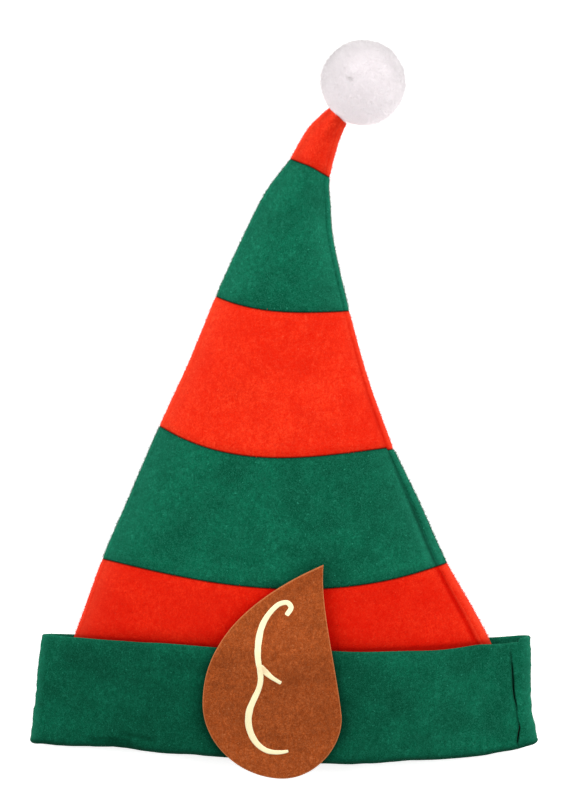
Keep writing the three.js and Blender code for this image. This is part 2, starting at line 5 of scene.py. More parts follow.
import bpy
import numpy as np
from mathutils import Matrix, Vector


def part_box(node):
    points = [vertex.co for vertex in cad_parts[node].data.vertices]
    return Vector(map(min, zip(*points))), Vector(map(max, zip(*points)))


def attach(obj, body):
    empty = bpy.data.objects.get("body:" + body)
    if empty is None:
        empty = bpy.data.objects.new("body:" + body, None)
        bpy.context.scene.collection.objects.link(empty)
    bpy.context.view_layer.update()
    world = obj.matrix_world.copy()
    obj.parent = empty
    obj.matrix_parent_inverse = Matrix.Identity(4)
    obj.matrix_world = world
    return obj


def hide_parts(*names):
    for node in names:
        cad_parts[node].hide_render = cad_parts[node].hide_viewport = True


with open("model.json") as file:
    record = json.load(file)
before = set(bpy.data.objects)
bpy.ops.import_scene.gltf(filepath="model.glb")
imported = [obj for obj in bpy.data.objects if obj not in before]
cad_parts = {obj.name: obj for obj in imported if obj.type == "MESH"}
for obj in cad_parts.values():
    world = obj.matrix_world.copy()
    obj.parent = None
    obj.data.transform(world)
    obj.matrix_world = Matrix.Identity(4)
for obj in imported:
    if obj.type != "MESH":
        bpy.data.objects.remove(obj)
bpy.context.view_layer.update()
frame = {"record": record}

# Camera, on the axis through the middle of the photograph
CAMERA_HEIGHT = 1100
CAMERA_Y = 5.4
FRAME_HEIGHT = 476.6  # on the floor
SENSOR = 24

# Felt and gaps, as in the part's source
FELT = 1.8
LAYER_GAP = 0.35
CUFF_GAP = 0.5
DRAPE_MARGIN, DRAPE_LENGTH = 10, 52

# Cone, as in the part's source
HAT_LENGTH = 381
RIM_WIDTH = 294
DOME_RISE, DOME_FULLNESS = 21, 1.15
LEFT_FOLD, RIGHT_FOLD = 2.4, 3.8
SEAM_DIP, SEAM_ROLL = 0.9, 4.5
SHOULDER = 3

# The back seam by row: how far it is from the hat's right outline, and how strongly it shows
BACK_SEAM = [
    (0, 10, 1), (1, 8.4, 1), (2, 6.3, 1), (3, 5.3, 0.95), (4, 4, 0.65),
    (5, 3.3, 0.45), (5.7, 2.2, 0.3), (6.5, 2.6, 0.35), (7.3, 3, 0.3), (7.9, 3, 0),
]
BACK_SEAM_DIP, BACK_SEAM_WIDTH = 0.85, 1.35

# Cuff, as in the part's source
CUFF_HEIGHT, CUFF_RETURN = 64, 16
CUFF_TAPER_LEFT, CUFF_TAPER_RIGHT = 8.3, 4.5
CUFF_PRESS_LEFT, CUFF_PRESS_RIGHT = 0.2, 0
CUFF_TOP_SAG, CUFF_TOP_SKEW = 0.03, 0.7
CUFF_DROOP = 2.2
STRIP_SHIFT = 1.4  # of the strip's seam below the front's
SLIT_INSET = 10.5
# How deep the cuff's colour is, partly painted shade darkening its left, and how far its lower edge
# wanders up, by x
CUFF_TONE_AND_SHADE = [(-150, 0.52), (-80, 0.62), (0, 0.6), (60, 0.3), (150, 0.12)]
CUFF_SWAY = [
    (-144, -0.6), (-135, -1.2), (-118, -0.6), (-100, 0.6), (-83, -0.6), (-66, -0.6), (-51, 0),
    (39, 0), (56, 1.2), (74, 1.8), (91, 1.2), (108, 0.6), (137, 0.6), (144, 1.2),
]
# Soft unevenness of the cone's front and of the cuff: height, size of the bumps and seed
CONE_RIPPLE = [(1.0, 60, 3), (0.8, 29, 5), (0.5, 15, 8)]
CUFF_RIPPLE = [(0.7, 38, 11), (0.6, 18, 12), (0.15, 8, 13)]
# The small folds at the cuff's lower left and the pucker over them: strength, ends and width
CUFF_FOLDS = [(1, (-112, 15.2), (-91, 13.4), 1.6), (0.6, (-93.5, 18.1), (-77, 15.2), 1.4)]
CUFF_PUCKER = (0.8, (-88, 14), (-79, 11.5), 2.6)
FRONT_OVER = 8  # a point higher than this is on the front

# Ears and pompom, as in the part's source
EAR_THICKNESS = 1.5
EAR_WIDTH, EAR_LENGTH = 80.3, 125.7
EAR_OVERHANG, EAR_MARGIN, EAR_SHIFT = 7.5, 5, -7
LINE_WIDTH = 3.4
POMPOM_DIAMETER = 51
POMPOM_MARK = np.array([-0.33, -0.06, 0.94])

# The cone's rings from its rim to its tip: left x and y, right x and y, sag, skew, rise, lift
RINGS = [
    (-1.01, 0.036, 1, 0.032, 0.05, 1.15, 0.58, 0),
    (-0.842, 0.191, 0.821, 0.188, 0.09, 0.35, 1, 0),
    (-0.727, 0.313, 0.651, 0.307, 0.096, 0.25, 0.95, 0),
    (-0.618, 0.411, 0.542, 0.4, 0.09, -0.1, 0.85, 0),
    (-0.498, 0.519, 0.436, 0.487, 0.081, -0.4, 0.74, 0),
    (-0.38, 0.618, 0.336, 0.591, 0.06, -0.35, 0.62, 0),
    (-0.27, 0.721, 0.258, 0.699, 0.035, -0.3, 0.5, 0),
    (-0.156, 0.817, 0.193, 0.809, 0.01, -0.2, 0.38, 0.05),
    (-0.067, 0.883, 0.181, 0.864, 0, 0, 0.28, 0.18),
    (0.022, 0.928, 0.176, 0.901, -0.002, 0, 0.2, 0.36),
    (0.1, 0.976, 0.208, 0.953, 0, 0, 0.15, 0.58),
    (0.182, 1.006, 0.241, 0.984, 0, 0, 0.1, 0.78),
]
LAST_ROW = len(RINGS) - 1
SEAM_ROWS = {"rim": 0, "base": 2, "lower": 4, "middle": 6, "upper": 9.08, "tip": 11}
# The stripes: node, first and last seam, felt, and depth of colour, partly painted shade that is
# deepest on the base stripe
STRIPES = [
    ("stripe_base_red", "rim", "base", "red_felt", 0.57),
    ("stripe_lower_green", "base", "lower", "green_felt", 0.1),
    ("stripe_middle_red", "lower", "middle", "red_felt", 0),
    ("stripe_upper_green", "middle", "upper", "green_felt", 0),
    ("stripe_tip_red", "upper", "tip", "red_felt", 0.15),
]

# The ear's outline as cubic curves: outgoing handle, incoming handle, end
EAR_POINT = (0.372, 1)
EAR_CURVES = [
    ((0.341, 0.834), (0.456, 0.553), (0.499, 0.314)),
    ((0.524, 0.169), (0.327, 0), (0.075, 0)),
    ((-0.191, 0), (-0.494, 0.141), (-0.499, 0.356)),
    ((-0.501, 0.623), (-0.235, 0.834), EAR_POINT),
]
# The printed line's strokes: x, y and width
LONG_STROKE = [
    (0.104, 0.77, 0.8), (0.137, 0.802, 0.86), (0.121, 0.823, 0.84), (0.09, 0.828, 0.86),
    (0.044, 0.818, 0.86), (-0.007, 0.788, 0.9), (-0.05, 0.75, 0.98), (-0.079, 0.706, 1.04),
    (-0.096, 0.651, 1.1), (-0.101, 0.597, 1.06), (-0.095, 0.553, 1), (-0.085, 0.52, 0.96),
    (-0.081, 0.476, 0.92), (-0.096, 0.432, 0.94), (-0.13, 0.383, 1), (-0.16, 0.334, 1.12),
    (-0.17, 0.279, 1.14), (-0.153, 0.224, 1.08), (-0.11, 0.175, 1), (-0.05, 0.144, 0.9),
    (0.01, 0.133, 0.8), (0.07, 0.133, 0.66), (0.118, 0.138, 0.5),
]
BRANCH_STROKE = [
    (-0.085, 0.54, 1.15), (-0.05, 0.517, 1.05), (-0.007, 0.492, 0.8), (0.03, 0.476, 0.68),
    (0.066, 0.462, 0.6),
]
# The print's section: places across it and its height there
PRINT_ACROSS = np.array([-1, -0.93, -0.75, -0.4, 0, 0.4, 0.75, 0.93, 1])
PRINT_HEIGHT = np.array([0.02, 0.16, 0.24, 0.27, 0.28, 0.27, 0.24, 0.16, 0.02])


def smoothstep(value, low, high):
    t = np.clip((value - low) / (high - low), 0, 1)
    return t * t * (3 - 2 * t)


def bell(value, width):
    return np.exp(-((value / width) ** 2))


def shares(count):
    """Columns at equal steps from 0 to just before 1."""
    return np.linspace(0, 1, count, endpoint=False)[None]


def unit(vectors):
    return vectors / np.linalg.norm(vectors, axis=-1, keepdims=True)


def between_four(corner, a, b):
    """The value between four corners of a grid, at shares a and b of the way."""
    low, high = (corner(0, q) * (1 - a) + corner(1, q) * a for q in (0, 1))
    return low * (1 - b) + high * b


def noise(x, y, size, seed):
    """Smooth noise from -1 to 1 over a plane, with bumps about size across."""
    cells = 61
    grid = np.random.default_rng(seed).uniform(-1, 1, (cells, cells))
    u, v = x / size + cells // 2, y / size + cells // 2
    i, j = np.floor(u).astype(int), np.floor(v).astype(int)
    a, b = (w * w * w * (w * (6 * w - 15) + 10) for w in (u - i, v - j))
    return between_four(lambda p, q: grid[(i + p) % cells, (j + q) % cells], a, b)


def spline(rows):
    """A curve through rows of numbers, read at a place in rows."""
    rows = np.asarray(rows, float)
    points = np.vstack([2 * rows[0] - rows[1], rows, 2 * rows[-1] - rows[-2]])

    def at(place):
        place = np.clip(np.asarray(place, float), 0, len(rows) - 1)
        i = np.minimum(place.astype(int), len(rows) - 2)
        w = (place - i)[..., None]
        p0, p1, p2, p3 = points[i], points[i + 1], points[i + 2], points[i + 3]
        t0, t1 = (p2 - p0) / 2, (p3 - p1) / 2
        square, cube = 3 * p2 - 3 * p1 - 2 * t0 - t1, 2 * p1 - 2 * p2 + t0 + t1
        return p1 + t0 * w + square * w**2 + cube * w**3

    return at


def ring_between(left_x, left_y, right_x, right_y, sag, skew, rise, lift):
    half_x, half_y = (right_x - left_x) / 2, (right_y - left_y) / 2
    ring = SimpleNamespace(half_x=half_x, half_y=half_y, sag=sag, skew=skew, rise=rise, lift=lift)
    ring.x, ring.y, ring.width = left_x + half_x, left_y + half_y, np.hypot(half_x, half_y)
    return ring


HALF_RIM = RIM_WIDTH / 2
RING_UNITS = [*(HALF_RIM, HAT_LENGTH) * 2, HALF_RIM, 1, DOME_RISE, POMPOM_DIAMETER / 2]
cone_columns = spline(np.array(RINGS) * RING_UNITS)


def cone_ring(along):
    columns = np.moveaxis(cone_columns(along), -1, 0)
    return ring_between(*columns[:7], np.maximum(columns[7], 0))


def plan_point(ring, across):
    bowed = ring.sag * (1 - across**2) * (1 + ring.skew * across) / ring.width
    x = ring.x + ring.half_x * across + ring.half_y * bowed
    y = ring.y + ring.half_y * across - ring.half_x * bowed
    return x, y


def rows_over(length, along):
    """How many rows of the table a length spans at a place along the cone."""
    step = 0.02
    low, high = max(along - step, 0), min(along + step, LAST_ROW)
    before, after = (plan_point(cone_ring(at), 0) for at in (low, high))
    return length * (high - low) / math.dist(before, after)


def ear_place(x, y):
    """The plan point at a share of the ear's width from its middle and of its length."""
    across = EAR_SHIFT + np.asarray(x) * EAR_WIDTH
    return np.stack([across, np.asarray(y) * EAR_LENGTH - EAR_OVERHANG], -1)


def ear_outline(steps):
    points, start = [], EAR_POINT
    t = np.arange(steps)[:, None] / steps
    for out, into, end in EAR_CURVES:
        bends = 3 * t * (1 - t) ** 2 * out + 3 * t**2 * (1 - t) * into
        points.append((1 - t) ** 3 * start + bends + t**3 * end)
        start = end
    return ear_place(*np.vstack(points).T)


CAD_EAR = ear_outline(10)
PLACE = np.append(np.array(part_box("ear_far")[0][:2]) * 1000 - CAD_EAR.min(axis=0), 0)


def ear_distance(x, y):
    """The distance of a plan point from the ear's edge, and whether it lies inside."""
    a, b = CAD_EAR, np.roll(CAD_EAR, -1, axis=0)
    edge = b - a
    p = np.stack([x, y], -1)[..., None, :]
    t = np.clip(((p - a) * edge).sum(-1) / (edge * edge).sum(-1), 0, 1)
    far = np.linalg.norm(p - a - t[..., None] * edge, axis=-1).min(-1)
    level = y[..., None]
    crosses = (a[:, 1] > level) != (b[:, 1] > level)
    rise = np.where(edge[:, 1] == 0, 1, edge[:, 1])
    left_of = x[..., None] < a[:, 0] + (level - a[:, 1]) / rise * edge[:, 0]
    return far, (crosses & left_of).sum(-1) % 2 == 1


def outside_ear(x, y):
    far, inside = ear_distance(x, y)
    return np.where(inside, 0, far)


class Table:
    """A function of a plan point, kept on a square grid."""

    def __init__(self, step, low, high, function):
        self.step, self.low = step, low
        self.count = [int((b - a) / step) + 1 for a, b in zip(low, high)]
        x, y = (a + step * np.arange(n) for a, n in zip(low, self.count))
        self.values = function(*np.meshgrid(x, y, indexing="ij"))

    def __call__(self, x, y):
        places = zip((x, y), self.low, self.count)
        u, v = (np.clip((at - low) / self.step, 0, n - 1.001) for at, low, n in places)
        i, j = u.astype(int), v.astype(int)
        return between_four(lambda p, q: self.values[i + p, j + q], u - i, v - j)


def drape(distance):
    """1 over an edge and a little past it, falling softly to 0."""
    return 1 - smoothstep(distance - DRAPE_MARGIN, 0, DRAPE_LENGTH)


# What lies under the back layers
ear_lift = lambda x, y: (EAR_THICKNESS + LAYER_GAP) * drape(outside_ear(x, y))
over_ear = Table(2, (-170, -20), (170, 430), ear_lift)
CUFF_OFFSET = FELT + CUFF_GAP


def cuff_ring(up):
    rim = cone_ring(np.zeros_like(up))
    rise = up * (CUFF_HEIGHT - FELT / 2 - CUFF_OFFSET)
    left = rim.x - rim.half_x - CUFF_OFFSET + up * CUFF_TAPER_LEFT, rim.y - rim.half_y + rise
    right = rim.x + rim.half_x + CUFF_OFFSET - up * CUFF_TAPER_RIGHT, rim.y + rim.half_y + rise
    sag = rim.sag + (CUFF_TOP_SAG * RIM_WIDTH / 2 - rim.sag) * up
    skew = rim.skew + (CUFF_TOP_SKEW - rim.skew) * up
    return ring_between(*left, *right, sag, skew, rim.rise, rim.lift)


cuff_top = cuff_ring(np.array(1.0))


def above_cuff(x, y):
    return y - plan_point(cuff_top, (x - cuff_top.x) / cuff_top.half_x)[1]


def under_cone(x, y):
    return over_ear(x, y) + CUFF_OFFSET * drape(above_cuff(x, y))


def ripple(x, y):
    """The soft unevenness of the cone's loose front layer."""
    return sum(height * noise(x, y, size, seed) for height, size, seed in CONE_RIPPLE)


def along_line(x, y, start, end, width):
    """1 on the line between two plan points, fading out beside it and past its ends."""
    start, run = np.array(start, float), np.array(end, float) - start
    share = ((x - start[0]) * run[0] + (y - start[1]) * run[1]) / (run @ run)
    off = ((x - start[0]) * run[1] - (y - start[1]) * run[0]) / math.hypot(*run)
    past = np.maximum(np.abs(share - 0.5) - 0.5, 0) * math.hypot(*run)
    return np.exp(-((off / width) ** 2) - (past / (1.5 * width)) ** 2)


def cuff_folds(x, y):
    """1 in the small folds at the lower left of the cuff."""
    return sum(strength * along_line(x, y, *line) for strength, *line in CUFF_FOLDS)


def cuff_ripple(x, y):
    """How far the cuff stands off the cone."""
    soft = sum(height * (1 + noise(x, y, size, seed)) for height, size, seed in CUFF_RIPPLE)
    strength, *line = CUFF_PUCKER
    fold = strength * along_line(x, y, *line) - 0.6 * cuff_folds(x, y)
    stand = 1.3 * smoothstep(above_cuff(x, y), -20, 0)
    return np.maximum(soft + 1.2 * fold, -0.1) + stand


def rim_sway(x):
    """How far up the fold at the rim wanders."""
    return np.interp(x, *np.array(CUFF_SWAY).T) + 0.35 * noise(x, 0 * x + 50, 9, 22)


def pinch(x, y):
    """How deep the cone's front dips along the top edge of the cuff."""
    return 1.5 * bell(above_cuff(x, y) + 3, 6) * (1 - smoothstep(x, 55, 95))


def ear_curl(x, y):
    """How far the near ear stands up: its edges curl away from the hat."""
    far, inside = ear_distance(x, y)
    edge = np.where(inside, far, 0)
    band = -0.6 * bell(y - 47 - 0.05 * x, 5)
    return 0.35 * (1 + noise(x, y, 17, 31)) + 2.6 * (1 - smoothstep(edge, 0, 14)) + band


def near_ear(x, y, fade):
    """1 under the near ear and beside it, fading out away from it, for the painted shade around it.
    """
    return np.exp(-outside_ear(x, y) / fade)


def folds_of(ring):
    """The radius of each fold, smaller where the cone is narrow."""
    most = 0.3 * ring.width
    right = np.minimum(np.clip(ring.width / 26, 2.2, RIGHT_FOLD), most)
    return SimpleNamespace(left=np.minimum(LEFT_FOLD, most), right=right)


def reach_of(ring, folds):
    """How wide the layers are between the folds."""
    return 2 * ring.width - folds.left - folds.right


def dome(share, reach):
    """A share of the front layer's rise, with soft shoulders beside the folds."""
    near = np.clip(np.minimum(share, 1 - share), 0, 0.5)
    near = near * (1 - np.exp(-near * reach / SHOULDER))
    return (4 * near * (1 - near)) ** DOME_FULLNESS


def cone_front(ring, folds, share):
    """The height of the cone's front layer at a share of a ring."""
    left, right = (plan_point(ring, side) for side in (-1, 1))
    low = under_cone(*left) + 2 * folds.left
    high = under_cone(*right) + 2 * folds.right
    rise = ring.rise * dome(share, reach_of(ring, folds))
    return low + (high - low) * share + rise + FELT / 2 + ring.lift


def loop_points(ring, columns, front, back):
    """Rings of points: up the left fold, across the front, down the right fold, and back."""
    folds = columns.folds
    reach = reach_of(ring, folds)
    bend_left, bend_right = folds.left - ring.width, ring.width - folds.right
    place = lambda x: plan_point(ring, x / ring.width)

    def fold(bend, out, radius, share, front_share):
        angle = (0.5 - share) * math.pi * out
        edge = place(bend)
        top, bottom = front(*edge, front_share), back(*edge)
        x, y = place(bend + out * radius * np.cos(angle))
        return x, y, (top + bottom) / 2 + (top - bottom) / 2 * np.sin(angle)

    over, under = place(bend_left + columns.front * reach), place(bend_right - columns.back * reach)
    parts = [
        fold(bend_left, -1, folds.left, columns.left, np.zeros_like(ring.width)),
        (*over, front(*over, columns.front)),
        fold(bend_right, 1, folds.right, columns.right, np.ones_like(ring.width)),
        (*under, back(*under)),
    ]
    return np.concatenate([np.stack(np.broadcast_arrays(*part), -1) for part in parts], axis=1)


def normals_of(points):
    across = np.roll(points, -1, axis=1) - np.roll(points, 1, axis=1)
    along = np.gradient(points, axis=0)
    return unit(np.cross(across, along))


def cone_surface(along, columns):
    """The cone's middle surface at rows along it, without its seams."""
    ring = cone_ring(along[:, None])
    columns.folds = folds_of(ring)

    def front(x, y, share):
        edge = 2 * ring.width * np.minimum(share, 1 - share)
        uneven = ripple(x, y) * smoothstep(edge, 0, 30) - pinch(x, y) * smoothstep(edge, 0, 20)
        return cone_front(ring, columns.folds, share) + uneven

    back = lambda x, y: under_cone(x, y) + FELT / 2 + ring.lift
    return loop_points(ring, columns, front, back)


def cone_at(x, y):
    """Where the cone lies at a plan point: its place across and along, and how far past the rim."""
    low, high, across = np.zeros_like(x), np.full_like(x, LAST_ROW), np.zeros_like(x)
    for _ in range(20):
        middle = (low + high) / 2
        ring = cone_ring(middle)
        for _ in range(3):
            across = np.clip(across + (x - plan_point(ring, across)[0]) / ring.half_x, -1.5, 1.5)
        below = plan_point(ring, across)[1] < y
        low, high = np.where(below, middle, low), np.where(below, high, middle)
    past = plan_point(cone_ring(np.zeros_like(x)), across)[1] - y
    return across, low, np.maximum(past, 0)


def front_height(x, y):
    across, along, past = cone_at(x, y)

    def height_at(row):
        ring = cone_ring(row)
        folds = folds_of(ring)
        share = ((across + 1) * ring.width - folds.left) / reach_of(ring, folds)
        share = np.clip(share, 0, 1)
        edge = 2 * ring.width * np.minimum(share, 1 - share)
        return cone_front(ring, folds, share) + ripple(x, y) * smoothstep(edge, 0, 30)

    outside = np.maximum(np.abs(across) - 1, 0) * cone_ring(along).width
    pressed = outside * np.where(across < 0, CUFF_PRESS_LEFT, CUFF_PRESS_RIGHT)
    rim, step = np.zeros_like(x), 10
    slope = (height_at(rim + rows_over(step, 0)) - height_at(rim)) / step
    return height_at(along) - pressed - past * slope


FRONT_GRID = 1.5, (-168, -24), (168, 150)
front_table = Table(*FRONT_GRID, front_height)
slope_x, slope_y = np.gradient(front_table.values, front_table.step)
stretch_table = Table(*FRONT_GRID, lambda x, y: np.sqrt(1 + slope_x**2 + slope_y**2))


def height_over(x, y, distance):
    return front_table(x, y) + distance * stretch_table(x, y)


# Meshes
def add_object(name, data):
    obj = bpy.data.objects.new(name, data)
    bpy.context.scene.collection.objects.link(obj)
    return obj


def make_object(name, points, faces, material, **values):
    """An object from points in millimetres and arrays of faces, with a number a point by name."""
    mesh = bpy.data.meshes.new(name)
    mesh.vertices.add(len(points))
    mesh.vertices.foreach_set("co", ((points + PLACE) * 0.001).astype(np.float32).ravel())
    sizes = np.concatenate([np.full(len(f), f.shape[1]) for f in faces])
    mesh.loops.add(int(sizes.sum()))
    corners = np.concatenate([f.ravel() for f in faces])
    mesh.loops.foreach_set("vertex_index", corners.astype(np.int32))
    mesh.polygons.add(len(sizes))
    mesh.polygons.foreach_set("loop_start", (np.cumsum(sizes) - sizes).astype(np.int32))
    mesh.polygons.foreach_set("use_smooth", np.ones(len(sizes), bool))
    mesh.update(calc_edges=True)
    for key, value in values.items():
        layer = mesh.attributes.new(key, "FLOAT", "POINT")
        layer.data.foreach_set("value", value.astype(np.float32).ravel())
    mesh.materials.append(material)
    return add_object(name, mesh)


def shell_faces(rows, columns, present, cap_first, cap_last):
    """Faces of a closed shell between an outer and an inner grid that run round in columns."""
    present = np.ones((rows - 1, columns), bool) if present is None else present
    index = np.arange(rows * columns).reshape(rows, columns)
    right = np.roll(index, -1, axis=1)
    inner = rows * columns
    corners = [index[:-1], right[:-1], right[1:], index[1:]]
    quads = [np.stack([c[present] for c in corners], 1)]
    quads.append(quads[0][:, ::-1] + inner)
    padded = np.pad(present, ((1, 1), (0, 0)), constant_values=False)
    open_first, open_last = ~padded[:-2], ~padded[2:]
    open_first[0] &= not cap_first
    open_last[-1] &= not cap_last
    sides = [open_first, ~np.roll(present, -1, axis=1), open_last, ~np.roll(present, 1, axis=1)]
    for k, open_side in enumerate(sides):
        wall = present & open_side
        p, q = corners[k][wall], corners[(k + 1) % 4][wall]
        quads.append(np.stack([q, p, p + inner, q + inner], 1))
    faces = [np.concatenate(quads)]
    extra = 2 * inner
    for cap, a, b in ((cap_first, right[0], index[0]), (cap_last, index[-1], right[-1])):
        if cap:
            faces.append(np.stack([a, b, np.full(columns, extra)], 1))
            faces.append(np.stack([b + inner, a + inner, np.full(columns, extra + 1)], 1))
            extra += 2
    return faces


def make_shell(
    name, outer, inner, material, present=None, cap_first=False, cap_last=False, **values
):
    rows, columns = outer.shape[:2]
    points = [outer.reshape(-1, 3), inner.reshape(-1, 3)]
    caps = [row for cap, row in ((cap_first, 0), (cap_last, -1)) if cap]
    for row in caps:
        points.append(np.stack([outer[row].mean(axis=0), inner[row].mean(axis=0)]))
    middles = np.zeros(2 * len(caps))
    spread = {k: np.concatenate([v.ravel(), v.ravel(), middles]) for k, v in values.items()}
    faces = shell_faces(rows, columns, present, cap_first, cap_last)
    return make_object(name, np.concatenate(points), faces, material, **spread)


# Materials
def material_nodes(name):
    material = bpy.data.materials.new(name)
    material.use_nodes = True
    nodes, links = material.node_tree.nodes, material.node_tree.links
    nodes.clear()

    def node(kind, inputs=None, **settings):
        made = nodes.new(kind)
        for key, value in settings.items():
            setattr(made, key, value)
        for key, value in (inputs or {}).items():
            if isinstance(value, bpy.types.NodeSocket):
                links.new(value, made.inputs[key])
            else:
                made.inputs[key].default_value = value
        return made

    def maths(operation, a, b=0.0):
        return node("ShaderNodeMath", {0: a, 1: b}, operation=operation).outputs[0]

    def blend(factor, a, b, mode="MIX"):
        made = node("ShaderNodeMix", {0: factor, 6: a, 7: b}, data_type="RGBA", blend_type=mode)
        return made.outputs[2]

    def spread(value, low, high, to_low, to_high):
        inputs = {0: value, 1: low, 2: high, 3: to_low, 4: to_high}
        return node("ShaderNodeMapRange", inputs, clamp=True).outputs[0]

    def attribute(name):
        return node("ShaderNodeAttribute", attribute_name=name).outputs["Fac"]

    coords = node("ShaderNodeTexCoord").outputs["Object"]

    def grain(size, detail, rough, distortion=0.0, at=coords):
        """Noise with grains of a size in millimetres."""
        inputs = {"Vector": at, "Scale": 1000 / size, "Detail": detail, "Roughness": rough}
        return node("ShaderNodeTexNoise", {**inputs, "Distortion": distortion}).outputs[0]

    def bump(strength, distance, height):
        inputs = {"Strength": strength, "Distance": distance, "Height": height}
        return node("ShaderNodeBump", inputs).outputs[0]

    def finish(inputs, kind="ShaderNodeBsdfPrincipled"):
        node("ShaderNodeOutputMaterial", {"Surface": node(kind, inputs).outputs[0]})
        return material

    return SimpleNamespace(
        node=node, maths=maths, blend=blend, spread=spread, attribute=attribute, grain=grain,
        bump=bump, finish=finish, coords=coords,
    )


def felt_material(name, colour, pale, deep, cloudy, mottle, fleck, bump, sheen, tint):
    """Pressed felt: cloudy and mottled, with swirling fibres and light flecks; its attributes add
    depth of colour, painted shade and painted highlights.
    """
    n = material_nodes(name)
    broad = n.grain(45, 2, 0.5)
    patches = n.grain(17, 3, 0.6)
    clumps = n.grain(3.0, 4, 0.75, 0.8)
    fine = n.grain(0.9, 4, 0.75, 0.4)
    strands = n.maths("ABSOLUTE", n.maths("SUBTRACT", n.grain(2.2, 2, 0.5, 2.6), 0.5))
    fibre = n.spread(strands, 0.0, 0.05, 1, 0)
    long = n.node("ShaderNodeVectorMath", {0: n.coords, 1: (1, 0.3, 1)}, operation="MULTIPLY")
    streaks = n.grain(1.3, 3, 0.7, 0.3, long.outputs[0])
    specks = n.grain(1.5, 1, 0.5)
    hollows = n.spread(patches, 0.42, 0.6, 0, 0.75 * cloudy)
    hollows = n.maths("ADD", hollows, n.spread(broad, 0.44, 0.58, 0, 0.7 * cloudy))
    shade = (*colour, 1)
    for share, other in (
        (hollows, deep),
        (n.spread(clumps, 0.42, 0.66, 0, mottle), deep),
        (n.spread(clumps, 0.46, 0.28, 0, fleck), pale),
        (n.spread(fine, 0.4, 0.65, 0, mottle), deep),
        (n.spread(streaks, 0.45, 0.65, 0, 0.7 * mottle), deep),
        (n.maths("MULTIPLY", fibre, fleck), pale),
        (n.spread(specks, 0.72, 0.78, 0, 1.5 * fleck), pale),
    ):
        shade = n.blend(share, shade, (*other, 1))
    # Depth of colour that is partly painted shade, then painted highlights on edges, then painted
    # shade in creases
    darker = [d / c for c, d in zip(colour, deep)]
    shade = n.blend(n.attribute("tone"), shade, (*darker, 1), "MULTIPLY")
    shade = n.blend(n.attribute("edge"), shade, (*pale, 1))
    shade = n.blend(n.attribute("crease"), shade, (*[c * 0.15 for c in deep], 1))
    height = n.maths("ADD", n.maths("MULTIPLY", fine, 0.5), n.maths("MULTIPLY", clumps, 0.55))
    height = n.maths("ADD", height, n.maths("MULTIPLY", fibre, 0.12))
    inputs = {
        "Base Color": shade,
        "Roughness": n.spread(fine, 0.2, 0.8, 0.86, 1.0),
        "Specular IOR Level": 0.03,
        "Sheen Weight": sheen,
        "Sheen Roughness": 0.55,
        "Sheen Tint": (*tint, 1),
        "Normal": n.bump(bump, 0.0006, height),
    }
    return n.finish(inputs)


def print_material():
    n = material_nodes("cream_print")
    fine = n.grain(0.6, 4, 0.7)
    cream, shadow, brown = (0.96, 0.89, 0.56, 1), (0.85, 0.68, 0.35, 1), (0.62, 0.2, 0.06, 1)
    shade = n.blend(n.spread(n.grain(2.4, 2, 0.5), 0.35, 0.65, 0, 0.1), cream, shadow)
    patches = n.spread(n.grain(1.5, 3, 0.6), 0.3, 0.6, 0.35, 1)
    shade = n.blend(n.maths("MULTIPLY", n.attribute("worn"), patches), shade, brown)
    inputs = {
        "Base Color": shade,
        "Roughness": n.spread(fine, 0.2, 0.8, 0.6, 0.8),
        "Specular IOR Level": 0.25,
        # A faint painted glow that keeps the cream bright where less light falls
        "Emission Color": shade,
        "Emission Strength": 0.08,
        "Normal": n.bump(0.25, 0.0003, fine),
    }
    return n.finish(inputs)


def fluff_material(name, colour, through, glow):
    """Loose fibre that light passes through, brightened by a painted glow."""
    n = material_nodes(name)
    shadow, mark = [c * 0.96 for c in colour], (0.2, 0.19, 0.18, 1)
    tufts = n.spread(n.grain(6, 3, 0.55), 0.3, 0.7, 0, 0.5)
    shade = n.blend(tufts, (*colour, 1), (*shadow, 1))
    shade = n.blend(n.attribute("mark"), shade, mark)
    normal = n.bump(0.3, 0.0006, n.grain(0.8, 4, 0.7))
    surface = {"Color": shade, "Normal": normal}
    front = n.node("ShaderNodeBsdfDiffuse", {**surface, "Roughness": 0.6}).outputs[0]
    back = n.node("ShaderNodeBsdfTranslucent", surface).outputs[0]
    mixed = n.node("ShaderNodeMixShader", {0: through, 1: front, 2: back}).outputs[0]
    painted_glow = n.node("ShaderNodeEmission", {"Color": shade, "Strength": glow}).outputs[0]
    return n.finish({0: mixed, 1: painted_glow}, "ShaderNodeAddShader")


FELT_LOOKS = {
    "red_felt": dict(
        colour=(0.94, 0.046, 0.0115), pale=(0.97, 0.13, 0.06), deep=(0.7, 0.0095, 0.0014),
        cloudy=0.5, mottle=0.8, fleck=0.2, bump=0.35, sheen=0.02, tint=(1, 0.3, 0.2),
    ),
    "green_felt": dict(
        colour=(0.004, 0.162, 0.083), pale=(0.03, 0.29, 0.18), deep=(0.001, 0.073, 0.035),
        cloudy=0.75, mottle=0.75, fleck=0.4, bump=0.4, sheen=0.03, tint=(0.3, 1, 0.7),
    ),
    "brown_felt": dict(
        colour=(0.5, 0.1, 0.0183), pale=(0.6, 0.215, 0.08), deep=(0.21, 0.038, 0.0068),
        cloudy=0.22, mottle=0.85, fleck=0.32, bump=0.3, sheen=0.02, tint=(1, 0.6, 0.4),
    ),
}
FELTS = {name: felt_material(name, **look) for name, look in FELT_LOOKS.items()}
PRINT = print_material()
FLUFF = fluff_material("white_fluff", (0.973, 0.946, 0.957), through=0.3, glow=0.1)
PIECES = {}


def keep(node, obj, outer=None):
    PIECES[node] = SimpleNamespace(obj=obj, outer=outer)


def fold_share(columns):
    """1 in the middle of each fold and 0 on the layers between them, by column."""
    left, right = (np.sin(np.pi * part[0]) for part in (columns.left, columns.right))
    front, back = (np.zeros(part.shape[1]) for part in (columns.front, columns.back))
    return np.concatenate([left, front, right, back])


